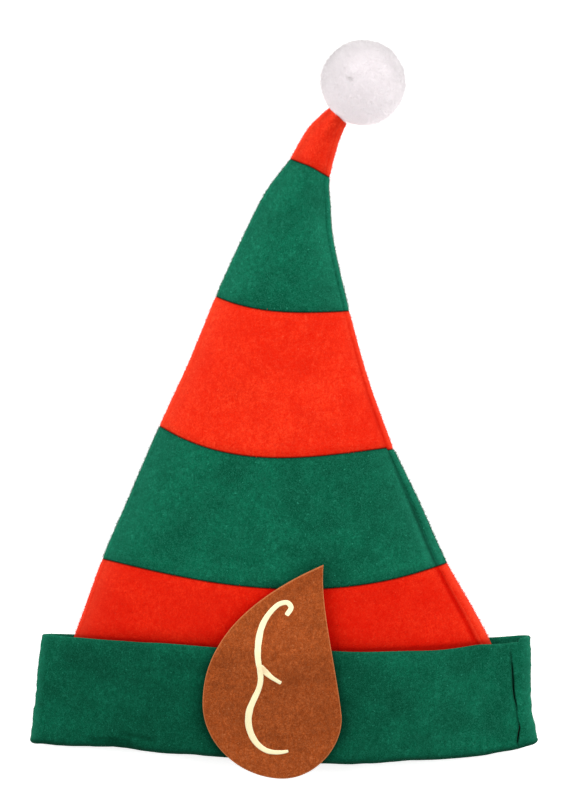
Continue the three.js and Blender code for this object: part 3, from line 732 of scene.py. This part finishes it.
def seam_profile(distance):
    """How deep the felt dips beside a seam, and how dark its painted shade is there, by distance
    from it.
    """
    broad = 0.7 * SEAM_DIP * np.maximum(1 - (distance / SEAM_ROLL) ** 2, 0) ** 2
    dark = np.maximum(0.9 * bell(distance, 0.55), 0.2 * np.exp(-distance / 1.6))
    return broad + 0.55 * bell(distance, 0.6), dark


def cone_places(low, high, closed_end, spacing):
    """Rows along a stripe, close together beside its seams."""
    near = np.array([0, 0.25, 0.5, 0.8, 1.15, 1.6, 2.2, 3, 4, 5.2])
    gap = 0.02
    start = low if low == 0 else low + rows_over(gap, low)
    end = high if closed_end else high - rows_over(gap, high)
    length = (end - start) / rows_over(1, (start + end) / 2)
    first = start + rows_over(1, start) * near
    last = end - rows_over(1, end) * near[::-1]
    between = np.linspace(first[-1], last[0], max(int((length - 2 * near[-1]) / spacing), 3))[1:-1]
    return np.concatenate([first, between, last])


def cone_columns_of(along, spacing):
    """Columns round the cone, close together at the back seam."""
    ring = cone_ring(along[:, None])
    reach = reach_of(ring, folds_of(ring))
    strip = np.minimum(13 / reach, 0.35)
    widest = float(reach.max())
    main = shares(max(int(widest / spacing), 12)) * (1 - strip)
    return SimpleNamespace(
        left=shares(9),
        front=np.concatenate([main, 1 - strip + shares(30) * strip], axis=1),
        right=shares(20),
        back=shares(max(int(widest / (1.8 * spacing)), 10)),
    )


def from_right_outline(ring, columns):
    """How far each column is inside the hat's right outline, for the columns seen in front."""
    far = 99.0
    radius = columns.folds.right + FELT / 2
    front = (1 - columns.front) * reach_of(ring, columns.folds) + radius
    turned = radius * (1 - np.sin(columns.right * math.pi))
    turned = np.where(columns.right < 0.5, turned, far)
    hidden = lambda part: np.full((len(ring.width), part.shape[1]), far)
    return np.concatenate([hidden(columns.left), front, turned, hidden(columns.back)], axis=1)


# The looks of each felt's stripes: how wide and how dark the back seam's painted shade is, how
# far the painted highlight reaches in from the folds and how much faster it fades at the right
# one, whether the felt past the seam gets a painted highlight, and whether the seam's shade covers
# it
STRIPE_LOOKS = {
    "green_felt": {"width": 1.0, "dark": 0.17, "fade": 9, "right": 1, "past": 1, "covers": 0},
    "red_felt": {"width": 1.7, "dark": 0.05, "fade": 6, "right": 2.5, "past": 0, "covers": 1},
}
STRIPE_SPACING, RIM_SPACING = 1.7, 1.2


def make_stripe(node, start, end, felt, tone):
    low, high = SEAM_ROWS[start], SEAM_ROWS[end]
    is_base, closed_end = start == "rim", end == "tip"
    look = SimpleNamespace(**STRIPE_LOOKS[felt])
    along = cone_places(low, high, closed_end, RIM_SPACING if is_base else STRIPE_SPACING)
    columns = cone_columns_of(along, STRIPE_SPACING)
    sides = columns.left, columns.front, columns.right
    lefts, fronts, rights = (part.shape[1] for part in sides)
    points = cone_surface(along, columns)
    from_rim = along[:, None] / rows_over(1, 0)
    x, y, z = (points[..., k] for k in range(3))
    y += np.exp(-from_rim / 6) * rim_sway(x)

    # The strip of felt beyond the back seam
    ring = cone_ring(along[:, None])
    seam_rows, *seam = np.array(BACK_SEAM).T
    place, strength = (np.interp(along, seam_rows, values)[:, None] for values in seam)
    off = from_right_outline(ring, columns) - place
    turn = lefts + fronts + rights // 2
    beyond = smoothstep(-off, -0.4, 0.4)
    beyond[:, turn:] = 1 - smoothstep(np.arange(points.shape[1] - turn), rights // 2, rights)
    shift_row = SEAM_ROWS["lower"]
    from_seam = np.abs(along - shift_row)[:, None] / rows_over(5, shift_row)
    y -= STRIP_SHIFT * beyond * np.exp(-from_seam)

    # Dips at the seams, and painted shade along them
    normals = normals_of(points)
    dip, crease = np.zeros(points.shape[:2]), np.zeros(points.shape[:2])
    for row in (low, high):
        if row not in (0, LAST_ROW):
            deep, dark = seam_profile(np.abs(along - row)[:, None] / rows_over(1, row))
            dip, crease = np.maximum(dip, deep), np.maximum(crease, dark)
    side = fold_share(columns)
    dip *= 1 - 0.75 * side
    dip = np.maximum(dip, BACK_SEAM_DIP * strength * bell(off, BACK_SEAM_WIDTH))
    on_seam = strength * bell(off, look.width)
    crease = np.maximum(crease, look.dark * strength * bell(off, 1))
    # Painted shade on the base stripe along the cuff's top edge, and painted dark where the stripe
    # runs under the cuff's right end
    above = above_cuff(x, y)
    clear = np.maximum(above, 0)
    if is_base:
        crease = np.maximum(crease, 0.42 * bell(clear, 1.1) + 0.04 * np.exp(-clear / 3))
    hidden = smoothstep(-above, 1, 9) * (x > 110) * (normals[..., 2] > -0.2)
    crease = np.maximum(crease, 0.95 * hidden)
    outer = points + normals * (FELT / 2 - dip)[..., None]
    inner = points - normals * (FELT / 2 + dip)[..., None]
    if closed_end:
        back = (points[-2] - points[-1]).mean(axis=0)
        inner[-4:] += back * (FELT / np.linalg.norm(back))
        shrunk = lambda grid, share: grid[-1] + (grid[-1].mean(axis=0) - grid[-1]) * share
        close = lambda grid: np.concatenate([grid, [shrunk(grid, 0.35), shrunk(grid, 0.7)]])
        outer, inner = close(outer), close(inner)
        crease = np.concatenate([crease, crease[-1:], crease[-1:]])

    # Painted highlights, and the felt's depth of colour with painted shade
    count = len(along)
    shown = z > FRONT_OVER
    # Painted highlight on the folds, and fading in from them across the front
    edge = 0.3 * side + 0 * crease
    from_fold = np.minimum(columns.front, look.right * (1 - columns.front)) * 2 * ring.width
    edge[:count, lefts : lefts + fronts] = 0.17 * np.exp(-from_fold / look.fade)
    # Painted highlight on a ridge beside the back seam, and on green felt past it
    ridge = bell(off - 3, 1.8) + look.past * smoothstep(-off, 0.8, 2.5)
    edge[:count] += 0.1 * strength * ridge * (not is_base) * shown
    edge[:count] *= 1 - look.covers * on_seam
    tone = tone + 0 * crease
    # Painted shade along the back seam, on the middle red's strip past it, and around the near ear
    tone[:count] += on_seam + 0.25 * smoothstep(-off, 0, 1.2) * (start == "lower") * shown
    tone[:count] += 0.45 * near_ear(x, y, 5) * shown
    if is_base:
        # Painted shade above the cuff's top edge, and painted light on the base beside the back
        # seam
        tone += 0.5 * np.exp(-clear / 2.5) - 0.45 * np.exp(-np.maximum(off - 1, 0) / 7)
    values = {"crease": crease, "tone": tone, "edge": edge}
    obj = make_shell(node + "_felt", outer, inner, FELTS[felt], cap_last=closed_end, **values)
    keep(node, obj, outer)


for stripe in STRIPES:
    make_stripe(*stripe)


# Cuff
SLIT_COLUMN = 190  # columns across the front up to the slit
OPEN_OVER = 0.12  # the slit is open where its lips are further apart


def make_cuff():
    down = np.concatenate([[0, 0.004, 0.01, 0.018], np.linspace(0.03, 1, 42)])
    up, below = (1 - down)[:, None], (down * CUFF_HEIGHT)[:, None]
    ring = cuff_ring(up)
    rim_folds = folds_of(cone_ring(np.array(0.0)))
    folds = SimpleNamespace(left=rim_folds.left + CUFF_OFFSET, right=rim_folds.right + CUFF_OFFSET)
    reach = reach_of(ring, folds)

    # The slit: its place and the two stretches where it gapes
    inset = SLIT_INSET - 1.8 * smoothstep(below, 28, 42) + 2.8 * smoothstep(below, 52, 63)
    inset = inset + 1.8 * (1 - smoothstep(below, 0, 32))
    slit = 1 - (inset - folds.right) / reach

    def gape(start, length, lean):
        share = np.clip((below - start) / length, 0, 1)
        return np.clip(np.sin(np.pi * share**lean), 0, 1)

    opening = 0.42 * gape(8, 34, 1.3) ** 0.7 + 0.4 * gape(50.5, 14, 1) ** 0.6
    lip = (0.06 + opening) / reach
    left_part = (slit - lip) * (1 - (1 - np.linspace(0, 1, SLIT_COLUMN)) ** 1.12)
    right_part = slit + lip + (1 - slit - lip) * shares(9)
    columns = SimpleNamespace(
        folds=folds,
        left=shares(11),
        front=np.concatenate([left_part, right_part], axis=1),
        right=shares(13),
        back=shares(110),
    )

    def front(x, y, share):
        bulge = 1.1 * bell((share - slit) * reach + 5.5, 5)
        bulge = bulge * smoothstep(below, 2, 20) * (1 - smoothstep(below, 36, 52))
        edge = reach * np.minimum(share, 1 - share)
        return height_over(x, y, CUFF_OFFSET) + cuff_ripple(x, y) * smoothstep(edge, 0, 12) + bulge

    back = lambda x, y: over_ear(x, y) + FELT / 2
    outer_layer = loop_points(ring, columns, front, back)
    lefts, fronts = columns.left.shape[1], columns.front.shape[1]
    edge_x = outer_layer[..., 0]
    on_front = np.zeros(edge_x.shape[1], int)
    on_front[lefts : lefts + fronts] = 1
    droop = on_front * smoothstep(edge_x, 0, 100) * (0.75 + 0.2 * smoothstep(edge_x, 112, 122))
    raised = 0.45 * smoothstep(edge_x, 100, 122)
    outer_layer[..., 1] -= CUFF_DROOP * up * (droop - raised)
    outer_layer[..., 1] += up**3 * 0.45 * noise(edge_x, 0, 22, 21)

    # Round the rim and up inside the cone
    reach_in = np.linspace(0, CUFF_RETURN, 11)
    cone = SimpleNamespace(left=columns.left, right=columns.right, back=columns.back)
    cone.front = columns.front[-1:]
    inside = cone_surface(reach_in * rows_over(1, 0), cone)
    outward = normals_of(inside) * CUFF_OFFSET
    rim = inside[0]
    outermost = outer_layer[-1] - rim
    down_step = rim - inside[1]
    down_step *= CUFF_OFFSET / np.linalg.norm(down_step, axis=-1, keepdims=True)
    bends = []
    for run in np.linspace(0, 1, 12)[1:-1]:
        angle = run * math.pi
        side = outermost * (1 - run) + outward[0] * run
        bends.append(rim + side * math.cos(angle) + down_step * math.sin(angle))
    points = np.concatenate([outer_layer, bends, inside - outward])
    rows, total = len(down), len(points)
    x, y, z = (points[..., k] for k in range(3))
    past_rim = [np.ones(len(bends)), np.exp(-reach_in / 6)]
    y += np.concatenate([down**6, *past_rim])[:, None] * rim_sway(x)
    normals = -normals_of(points)

    # The lips of the slit, and the cuff's ends, edge and fold
    by_row = lambda outside, rest: np.append(outside, np.full(total - rows, rest))[:, None]
    lips = np.arange(points.shape[1]) - (lefts + SLIT_COLUMN - 0.5)
    # Painted shade in the slit between its lips
    crease = 0.75 * (bell(lips, 1.3) * by_row(smoothstep(down, 0.03, 0.12), 0.5))
    z -= 0.5 * bell(lips, 1.6) * by_row(smoothstep(down, 0, 0.08), 0)
    x -= by_row(2.3 * bell(down - 0.61, 0.3), 0) * smoothstep(x, 100, 140)
    wobble = 0.25 * noise(y, 0, 7, 23) + 0.25 * noise(y, 0, 3, 24)
    x += wobble * smoothstep(np.abs(x), 128, 145)
    drawn_in = np.concatenate([smoothstep(down, 0.2, 0.8), *past_rim])[:, None]
    x += 1.3 * drawn_in * smoothstep(-x, 100, 145)
    # Painted shade along the fold round the rim, and faintly along the top edge where it lies on
    # the cone
    bend = np.zeros((total, 1))
    bend[rows - 3 : rows + 9, 0] = [0.05, 0.15, 0.5, 1, 1, 1, 1, 1, 1, 1, 0.8, 0.4]
    crease = np.maximum(crease, 0.55 * bend)
    top, top_x = bell(np.maximum(below - 0.3, 0), 1.1), x[:rows]
    on_cone = smoothstep(top_x, -118, -108) * (1 - smoothstep(top_x, 112, 120))
    crease[:rows] = np.maximum(crease[:rows], 0.12 * top * on_cone)
    # Depth of colour with painted shade: darker towards the left, lighter near the top edge on the
    # left, darker beside the ear and in the small folds
    tone = np.interp(x, *np.array(CUFF_TONE_AND_SHADE).T)
    tone[:rows] -= 0.4 * np.exp(-below / 7) * (1 - 0.9 * smoothstep(top_x, 0, 60))
    tone += 0.6 * near_ear(x, y, 1.6) * (z > FRONT_OVER)
    tone[:rows] += 0.8 * cuff_folds(edge_x, y[:rows]) * on_front
    # Painted highlights on the folds at the cuff's ends and along its top edge
    edge = 0.2 * fold_share(columns) + 0 * crease
    edge[:rows] += 0.06 * np.exp(-below / 1.5)
    values = {"crease": crease, "tone": tone, "edge": edge}

    thick = np.full((total, 1, 1), FELT / 2)
    thick[:3, 0, 0] *= [0.45, 0.75, 0.93]
    thick[-2:, 0, 0] *= [0.8, 0.45]
    present = np.ones((total - 1, points.shape[1]), bool)
    gapes = opening[:, 0] > OPEN_OVER
    present[: rows - 1, lefts + SLIT_COLUMN - 1] = ~(gapes[:-1] & gapes[1:])
    outer, inner = points + normals * thick, points - normals * thick
    obj = make_shell("cuff_felt", outer, inner, FELTS["green_felt"], present=present, **values)
    keep("cuff", obj, outer[:rows])


make_cuff()


# Ears
def ear_height(x, y):
    """The near ear's middle surface, on the cuff and the cone, with its edges curled up."""
    on_cone = FELT / 2 + LAYER_GAP + EAR_THICKNESS / 2
    above = above_cuff(x, y)
    top = above_cuff(x, ear_place(0, EAR_POINT[1])[1] + 0 * y)
    lift = on_cone + CUFF_OFFSET * (1 - smoothstep(above, EAR_MARGIN, top))
    on_cuff = 1 - smoothstep(above, -2, 14)
    return height_over(x, y, lift) + cuff_ripple(x, y) * on_cuff + ear_curl(x, y)


def make_ear(node, outline, rings, surface, rim, pale):
    """An ear in rings from its middle to its outline, with half its thickness at the last ones, and
    a painted highlight of strength pale along its rim.
    """
    middle = ear_place(0, 0.42)
    steps = np.append(np.linspace(0.02, 0.965, rings), [0.975, 0.984, 0.991, 0.996, 1])
    x, y = np.moveaxis(middle + (outline - middle) * steps[:, None, None], -1, 0)
    half = np.full((len(steps), 1), EAR_THICKNESS / 2)
    half[-len(rim) :, 0] = rim
    z = surface(x, y)
    outer, inner = (np.stack([x, y, z + side * half], -1)[::-1] for side in (1, -1))
    edge = pale * (steps[::-1, None] > 0.99) + 0 * x
    obj = make_shell(node + "_felt", outer, inner, FELTS["brown_felt"], cap_last=True, edge=edge)
    keep(node, obj, outer)


outline = ear_outline(60)
raised = outline + [0, 1.2] * smoothstep(-outline[:, 1:], -60, EAR_OVERHANG)
make_ear("ear_near", raised, 34, ear_height, rim=(0.7275, 0.66, 0.525, 0.3), pale=0.55)
flat = lambda x, y: EAR_THICKNESS / 2 + 0 * x
make_ear("ear_far", outline, 24, flat, rim=(0.73, 0.68, 0.57, 0.35), pale=0)


def make_line():
    tops, bottoms, worn = [], [], []
    junction = ear_place(-0.062, 0.525)
    for stroke, lift, wear in ((LONG_STROKE, 0.0, 0.18), (BRANCH_STROKE, -0.04, 0.35)):
        t = np.linspace(0, len(stroke) - 1, 26 * (len(stroke) - 1))
        share_x, share_y, width = spline(stroke)(t).T
        centre = ear_place(share_x, share_y)
        ahead = unit(np.gradient(centre, axis=0))
        sideways = np.stack([-ahead[:, 1], ahead[:, 0]], 1)
        from_end = np.minimum(np.arange(len(t)), np.arange(len(t))[::-1])
        half = width * LINE_WIDTH / 2 * np.clip(0.72 + 0.28 * from_end / 3, 0, 1)
        half = half * (1 + 0.05 * noise(centre[:, 0], centre[:, 1], 3, 41))
        across = half[:, None] * PRINT_ACROSS[::-1]
        x, y = np.moveaxis(centre[:, None] + sideways[:, None] * across[..., None], -1, 0)
        base = ear_height(x, y) + EAR_THICKNESS / 2
        tops.append(np.stack([x, y, base + (PRINT_HEIGHT + lift)], -1))
        bottoms.append(np.stack([x, y, base - 0.05], -1))
        away = np.hypot(x - junction[0], y - junction[1])
        worn.append(wear * (1 - smoothstep(away, 1, 5)))
    top, bottom, worn = (np.concatenate(grids) for grids in (tops, bottoms, worn))
    present = np.ones((len(top) - 1, top.shape[1]), bool)
    present[:, -1] = False
    present[len(tops[0]) - 1] = False
    keep("ear_line", make_shell("ear_line_print", top, bottom, PRINT, present=present, worn=worn))


make_line()


# Pompom
def blades(roots, tips, rng, width, bend):
    """Fine tapered blades from roots to tips, each of three triangles."""
    along = tips - roots
    length = np.linalg.norm(along, axis=1, keepdims=True)
    side = unit(np.cross(along, rng.normal(size=along.shape)))
    lean = unit(np.cross(along, side))
    middle = roots + along * 0.55 + lean * length * bend * rng.normal(size=(len(roots), 1))
    half = side * width / 2
    points = [roots - half, roots + half, middle + half * 0.9, middle - half * 0.9, tips]
    points = np.stack(points, 1)
    points[..., 2] = np.maximum(points[..., 2], 0.1)
    first = np.arange(len(roots))[:, None] * 5
    return points.reshape(-1, 3), [first + np.array([[0, 1, 2, 3]]), first + np.array([[3, 2, 4]])]


def make_pompom():
    low, high = (np.array(corner) * 1000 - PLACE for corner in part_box("pompom"))
    centre = (low + high) / 2 - [1.1, 1.1, 0]
    radius = POMPOM_DIAMETER / 2 - 1.2
    rng = np.random.default_rng(7)
    golden = math.pi * (3 - math.sqrt(5))
    to_hat = unit(PIECES["stripe_tip_red"].outer[-1].mean(axis=0) - centre)

    def ball(count, seed):
        i = np.arange(count) + 0.5
        z = 1 - 2 * i / count
        flat = np.sqrt(1 - z * z)
        turn = i * golden + seed
        return np.stack([flat * np.cos(turn), flat * np.sin(turn), z], 1)

    # The dense middle
    rows, columns = 48, 72
    polar = np.linspace(0.03, math.pi - 0.03, rows)[:, None]
    turned = 2 * math.pi * shares(columns)
    out = [np.sin(polar) * np.cos(turned), np.sin(polar) * np.sin(turned), np.cos(polar)]
    out = np.stack(np.broadcast_arrays(*out), -1)[::-1]
    lumps = 1 + 0.008 * noise(turned * 20, polar[::-1] * 40, 9, 51)
    outer = centre + out * (radius - 1.2) * lumps[..., None]
    inner = centre + out * (radius - 5)
    core = make_shell("pompom_core", outer, inner, FLUFF, cap_first=True, cap_last=True)
    keep("pompom", core)

    # Its fibres, some astray, and grey where the photograph's rim and dimple are; the grey on the
    # sides and the strays is painted shade
    fibres, count = [], 36000
    for part in range(4):
        out = unit(ball(count, part * 1.7) + rng.normal(scale=0.01, size=(count, 3)))
        tuft = noise(out[:, 0] * 30 + 60 * out[:, 2], out[:, 1] * 30, 7, 52)
        stray = (rng.random(count) < 0.22) * np.minimum(rng.exponential(1.15, count), 3.5)
        stray *= 1 - smoothstep(out @ to_hat, 0.6, 0.8)
        reach = radius - 0.6 + 0.6 * tuft + rng.normal(scale=0.35, size=count) + stray
        sway = rng.normal(scale=2.1, size=(count, 3))
        sway -= out * np.sum(sway * out, axis=1, keepdims=True)
        tips = centre + out * reach[:, None] + sway
        points, faces = blades(centre + out * (radius - 1.4), tips, rng, width=0.14, bend=0.12)
        spot = np.linalg.norm(tips - centre - POMPOM_MARK * radius, axis=1)
        # Painted shade greys the fibres a little on top, more on the sides, most towards +y, and on
        # the strays; the spot at the dimple is grey
        flat = 1 - np.maximum(out[:, 2:], 0)
        astray = 0.12 * flat * smoothstep(stray, 0.5, 2)[:, None]
        mark = bell(spot, 1.05)[:, None] * [0.1, 0.1, 1, 1, 1.4]
        mark += 0.05 * (1 - flat) + flat * (0.2 + 0.19 * out[:, 1:2]) + astray
        fibres.append(make_object(f"pompom_fibres_{part + 1}", points, faces, FLUFF, mark=mark))
    return fibres


pompom_fibres = make_pompom()

# Loose fibres that stand out of the felt: how many on a square millimetre, and how many more
# where the felt turns away
FUZZ = {
    "red_felt": [
        ("stripe_base_red", 0.25, 3), ("stripe_middle_red", 0.25, 3), ("stripe_tip_red", 0.3, 4),
    ],
    "green_felt": [
        ("stripe_lower_green", 0.3, 5), ("stripe_upper_green", 0.3, 5), ("cuff", 0.3, 6),
    ],
}


def make_fuzz(name, sources, material):
    rng = np.random.default_rng(len(name))
    roots, tips = [], []
    for node, density, edge_density in sources:
        grid = PIECES[node].outer
        right = np.roll(grid, -1, axis=1)
        corners = grid[:-1], right[:-1], right[1:], grid[1:]
        normal = np.cross(corners[1] - grid[:-1], grid[1:] - grid[:-1])
        area = np.linalg.norm(normal, axis=-1)
        normal /= np.maximum(area, 1e-9)[..., None]
        up = normal[..., 2]
        weight = area * (density + edge_density * (np.abs(up) < 0.45)) * (up > -0.5)
        if node == "cuff":
            weight[:4] *= 3
            weight[:4] += 3.5 * area[:4] * (up[:4] > 0.5)
        else:
            weight *= above_cuff(grid[:-1, :, 0], grid[:-1, :, 1]) > 1
        count = rng.poisson(weight)
        pick = np.repeat(np.arange(count.size), count.ravel())
        u, v = rng.random((2, len(pick), 1))
        a, b, c, d, out = (g.reshape(-1, 3)[pick] for g in (*corners, normal))
        spot = a * (1 - u) * (1 - v) + b * u * (1 - v) + c * u * v + d * (1 - u) * v
        lean = out * rng.uniform(0.15, 0.8, (len(pick), 1))
        lean += rng.normal(scale=0.6, size=spot.shape)
        upward = np.sum(lean * out, axis=1, keepdims=True)
        lean = unit(lean + out * np.maximum(0.15 - upward, 0))
        length = np.minimum(rng.gamma(2.5, 0.4, (len(pick), 1)) + 0.3, 2.2)
        roots.append(spot - out * 0.05)
        tips.append(spot + lean * length)
    points, faces = blades(np.concatenate(roots), np.concatenate(tips), rng, width=0.12, bend=0.25)
    return make_object(name, points, faces, material)


fuzz = {
    slot: make_fuzz("fuzz_" + slot.removesuffix("_felt"), sources, FELTS[slot])
    for slot, sources in FUZZ.items()
}


# Floor, lights and camera
def make_floor():
    n = material_nodes("pale_floor")
    patches = n.spread(n.grain(40, 2, 0.5), 0.3, 0.7, 0, 0.04)
    inputs = {
        "Base Color": n.blend(patches, (0.94, 0.94, 0.94, 1), (0.91, 0.91, 0.91, 1)),
        "Roughness": 0.9,
        "Specular IOR Level": 0.1,
        "Emission Color": (1, 1, 1, 1),
        "Emission Strength": 0.62,
    }
    mesh = bpy.data.meshes.new("floor")
    low, high = -6.0, 6.0
    corners = [(low, low, 0), (high, low, 0), (high, high, 0), (low, high, 0)]
    mesh.from_pydata(corners, [], [(0, 1, 2, 3)])
    mesh.materials.append(n.finish(inputs))
    add_object("floor", mesh)


def add_light(name, place, power, target=(0.0, 0.1, 0.0), size=1.3):
    lamp = bpy.data.lights.new(name, "AREA")
    lamp.shape = "DISK"
    lamp.size = size
    lamp.energy = power
    obj = add_object(name, lamp)
    obj.location = place
    obj.rotation_euler = (Vector(target) - Vector(place)).to_track_quat("-Z", "Y").to_euler()


make_floor()
add_light("left", (-1.0, 0.45, 0.8), 14.7)
add_light("right", (1.0, 0.45, 0.8), 15.7)

world = bpy.data.worlds.new("studio")
world.use_nodes = True
background = world.node_tree.nodes["Background"]
background.inputs["Color"].default_value = (1, 1, 1, 1)
background.inputs["Strength"].default_value = 0.4
bpy.context.scene.world = world
bpy.context.scene.view_settings.view_transform = "Standard"

camera_data = bpy.data.cameras.new("camera")
camera_data.sensor_fit = "VERTICAL"
camera_data.sensor_height = SENSOR
camera_data.lens = SENSOR * CAMERA_HEIGHT / FRAME_HEIGHT
camera = add_object("camera", camera_data)
camera.location = (0, CAMERA_Y / 1000, CAMERA_HEIGHT / 1000)
bpy.context.scene.camera = camera

# Nodes, slots and bodies: hide each replaced node, list each new object with its slot's name, and
# attach it to the root body
record_slots = {part["node"]: part["material_slot"] for part in frame["record"]["subparts"]}
slots = []
for node, piece in PIECES.items():
    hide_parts(node)
    slots.append((piece.obj, record_slots[node]))
slots += [(obj, slot) for slot, obj in fuzz.items()]
slots += [(obj, "white_fluff") for obj in pompom_fibres]
for obj, slot in slots:
    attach(obj, "root")
